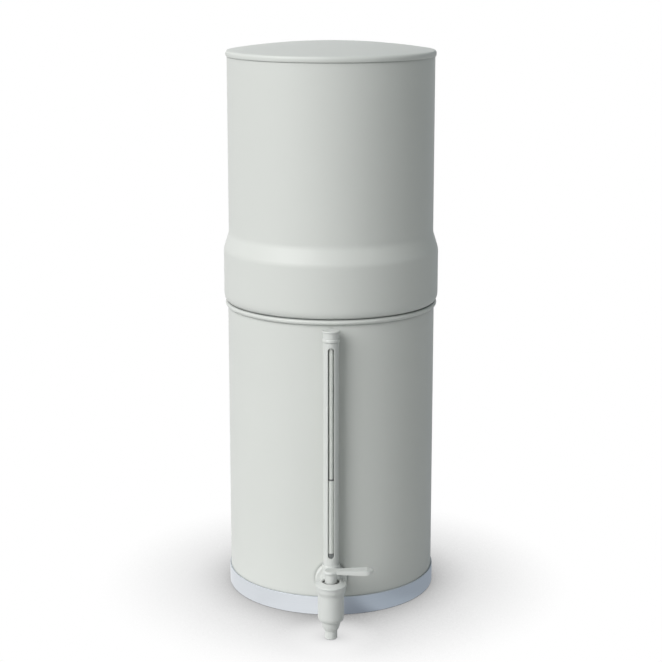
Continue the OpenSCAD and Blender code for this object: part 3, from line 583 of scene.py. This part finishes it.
white_light = "#f0f0ed"
white_dark = "#e8e8e4"
milk_mm = 8.3
milk_depth_mm = 0.01
glow_mm = 2  # how far light spreads inside the plastic
mark_colour = "#1d1f20"
foot_colour = "#6c6e6f"
cell_mm = 0.4  # the real cells are finer, and wouldn't show
cell_share = 0.12  # of the colour that the cells of the foam change
tube_tint = "#f8f9f8"
tube_clearness = 0.08  # of the light goes straight through the thin wall
tube_wiped, tube_touched = 0.03, 0.09  # roughness
handling_mm = 3  # between traces of handling

# Acetal: milky white, with light that glows a little way into it
white_acetal, tree = new_material("white_acetal")
place = add_node(tree, "ShaderNodeTexCoord")
milky = add_node(tree, "ShaderNodeTexNoise", {"Scale": 1000 / milk_mm, "Detail": 2.0},
                 {"Vector": place.outputs["Object"]})
tone = add_node(tree, "ShaderNodeMix", {colour_a: linear(white_dark), colour_b: linear(white_light)},
                {"Factor": milky.outputs["Fac"]}, data_type="RGBA")
turned = add_node(tree, "ShaderNodeBump", {"Strength": 1.0, "Distance": milk_depth_mm / 1000},
                  {"Height": milky.outputs["Fac"]})
acetal = add_node(tree, "ShaderNodeBsdfPrincipled",
                  {"Roughness": 0.45, "IOR": 1.48, "Subsurface Weight": 0.4,
                   "Subsurface Radius": (1.0, 1.0, 1.0), "Subsurface Scale": glow_mm / 1000},
                  {"Base Color": tone.outputs[mixed], "Normal": turned.outputs[0]})
add_node(tree, "ShaderNodeOutputMaterial", links={"Surface": acetal.outputs[0]})

# Dyed foam: matt and fine-celled, nearly black on the ring and grey on the float's foot
dyed_foam, tree = new_material("dyed_foam")
place = add_node(tree, "ShaderNodeTexCoord")
cells = add_node(tree, "ShaderNodeTexNoise", {"Scale": 1000 / cell_mm, "Detail": 2.0},
                 {"Vector": place.outputs["Object"]})
bands_low, bands_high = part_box("gauge_float_bands")
height = add_node(tree, "ShaderNodeSeparateXYZ", links={0: place.outputs["Object"]})
at_foot = add_node(tree, "ShaderNodeMath", {1: (bands_low.z + bands_high.z) / 2},
                   {0: height.outputs["Z"]}, operation="LESS_THAN")
dye = add_node(tree, "ShaderNodeMix", {colour_a: linear(mark_colour), colour_b: linear(foot_colour)},
               {"Factor": at_foot.outputs[0]}, data_type="RGBA")
tone = add_node(tree, "ShaderNodeMix", {"Factor": cell_share},
                {colour_a: dye.outputs[mixed], colour_b: cells.outputs["Color"]}, data_type="RGBA")
foam = add_node(tree, "ShaderNodeBsdfPrincipled", {"Roughness": 0.75},
                {"Base Color": tone.outputs[mixed]})
add_node(tree, "ShaderNodeOutputMaterial", links={"Surface": foam.outputs[0]})

# Acrylic: clear and glossy, a little hazy where it was handled, and light falls through it on
# the float and the rod
clear_acrylic, tree = new_material("clear_acrylic")
place = add_node(tree, "ShaderNodeTexCoord")
handling = add_node(tree, "ShaderNodeTexNoise", {"Scale": 1000 / handling_mm, "Detail": 3.0},
                    {"Vector": place.outputs["Object"]})
hazy = add_node(tree, "ShaderNodeMapRange", {"To Min": tube_wiped, "To Max": tube_touched},
                {"Value": handling.outputs["Fac"]})
acrylic = add_node(tree, "ShaderNodeBsdfPrincipled",
                   {"Base Color": linear(tube_tint), "Transmission Weight": 1.0, "IOR": 1.49},
                   {"Roughness": hazy.outputs[0]})
ray = add_node(tree, "ShaderNodeLightPath")
bounced = add_node(tree, "ShaderNodeMath", operation="MAXIMUM",
                   links={0: ray.outputs["Is Shadow Ray"], 1: ray.outputs["Is Diffuse Ray"]})
straight = add_node(tree, "ShaderNodeMath", {1: tube_clearness}, {0: bounced.outputs[0]},
                    operation="MAXIMUM")
lets_light_in = add_node(tree, "ShaderNodeBsdfTransparent", {"Color": linear(tube_tint)})
walls = add_node(tree, "ShaderNodeMixShader",
                 links={0: straight.outputs[0], 1: acrylic.outputs[0], 2: lets_light_in.outputs[0]})
add_node(tree, "ShaderNodeOutputMaterial", links={"Surface": walls.outputs[0]})

mould("gauge_casing", "base", grid_mm=0.35, passes=4, keep_faces=0.5)
mould("gauge_cap", "base", grid_mm=0.3, passes=4, keep_faces=0.5)
finish_node("gauge_float_stop", moulded_abs)
finish_node("gauge_seal", moulded_rubber)
for name in ("gauge_guide_rod", "gauge_float"):
    finish_node(name, white_acetal)
finish_node("gauge_float_bands", dyed_foam)
finish_node("gauge_tube", clear_acrylic)
